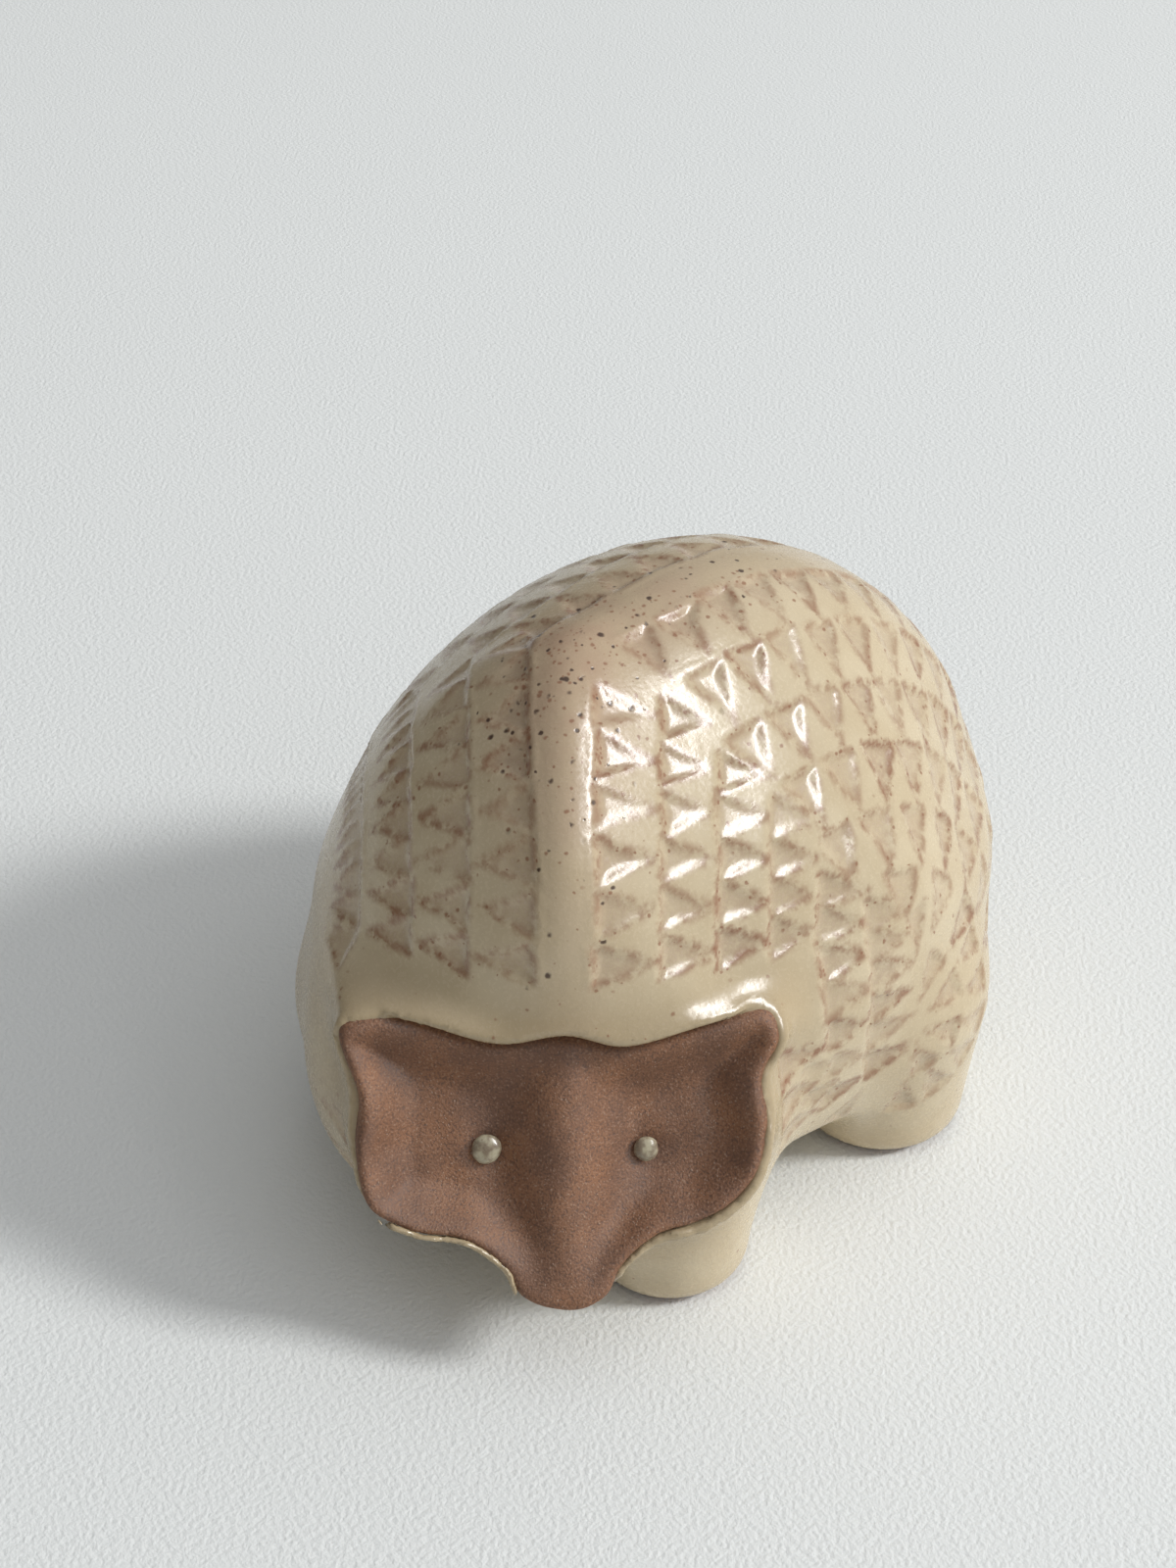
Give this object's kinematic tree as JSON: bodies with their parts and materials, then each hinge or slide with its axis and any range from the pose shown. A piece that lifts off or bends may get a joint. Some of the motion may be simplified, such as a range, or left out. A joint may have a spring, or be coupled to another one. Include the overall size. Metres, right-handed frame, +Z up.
{
  "type": "hedgehog figurine",
  "caption": "Hollow stoneware hedgehog with its head turned aside, short legs, a bare dished face and a speckled cream glaze pressed with rows of triangles; shelf ornament.",
  "frame": {"origin": "on the table, under the middle of the bounding box", "axes": "+Z up, -Y towards the front of the trunk, +X towards the animal's own left; the head is turned from -Y towards +X"},
  "size_m": [0.1181, 0.1514, 0.1031],
  "materials": {
    "bare_clay": "matt unglazed",
    "eye_glaze": "satin glaze bead",
    "cream_glaze": "satin speckled glaze"
  },
  "bodies": {
    "root": {"left_half_shell": "bare_clay", "right_half_shell": "bare_clay", "front_left_leg": "bare_clay", "front_right_leg": "bare_clay", "rear_left_leg": "bare_clay", "rear_right_leg": "bare_clay", "left_eye": "eye_glaze", "right_eye": "eye_glaze", "glaze_coat": "cream_glaze"}
  },
  "joints": []
}
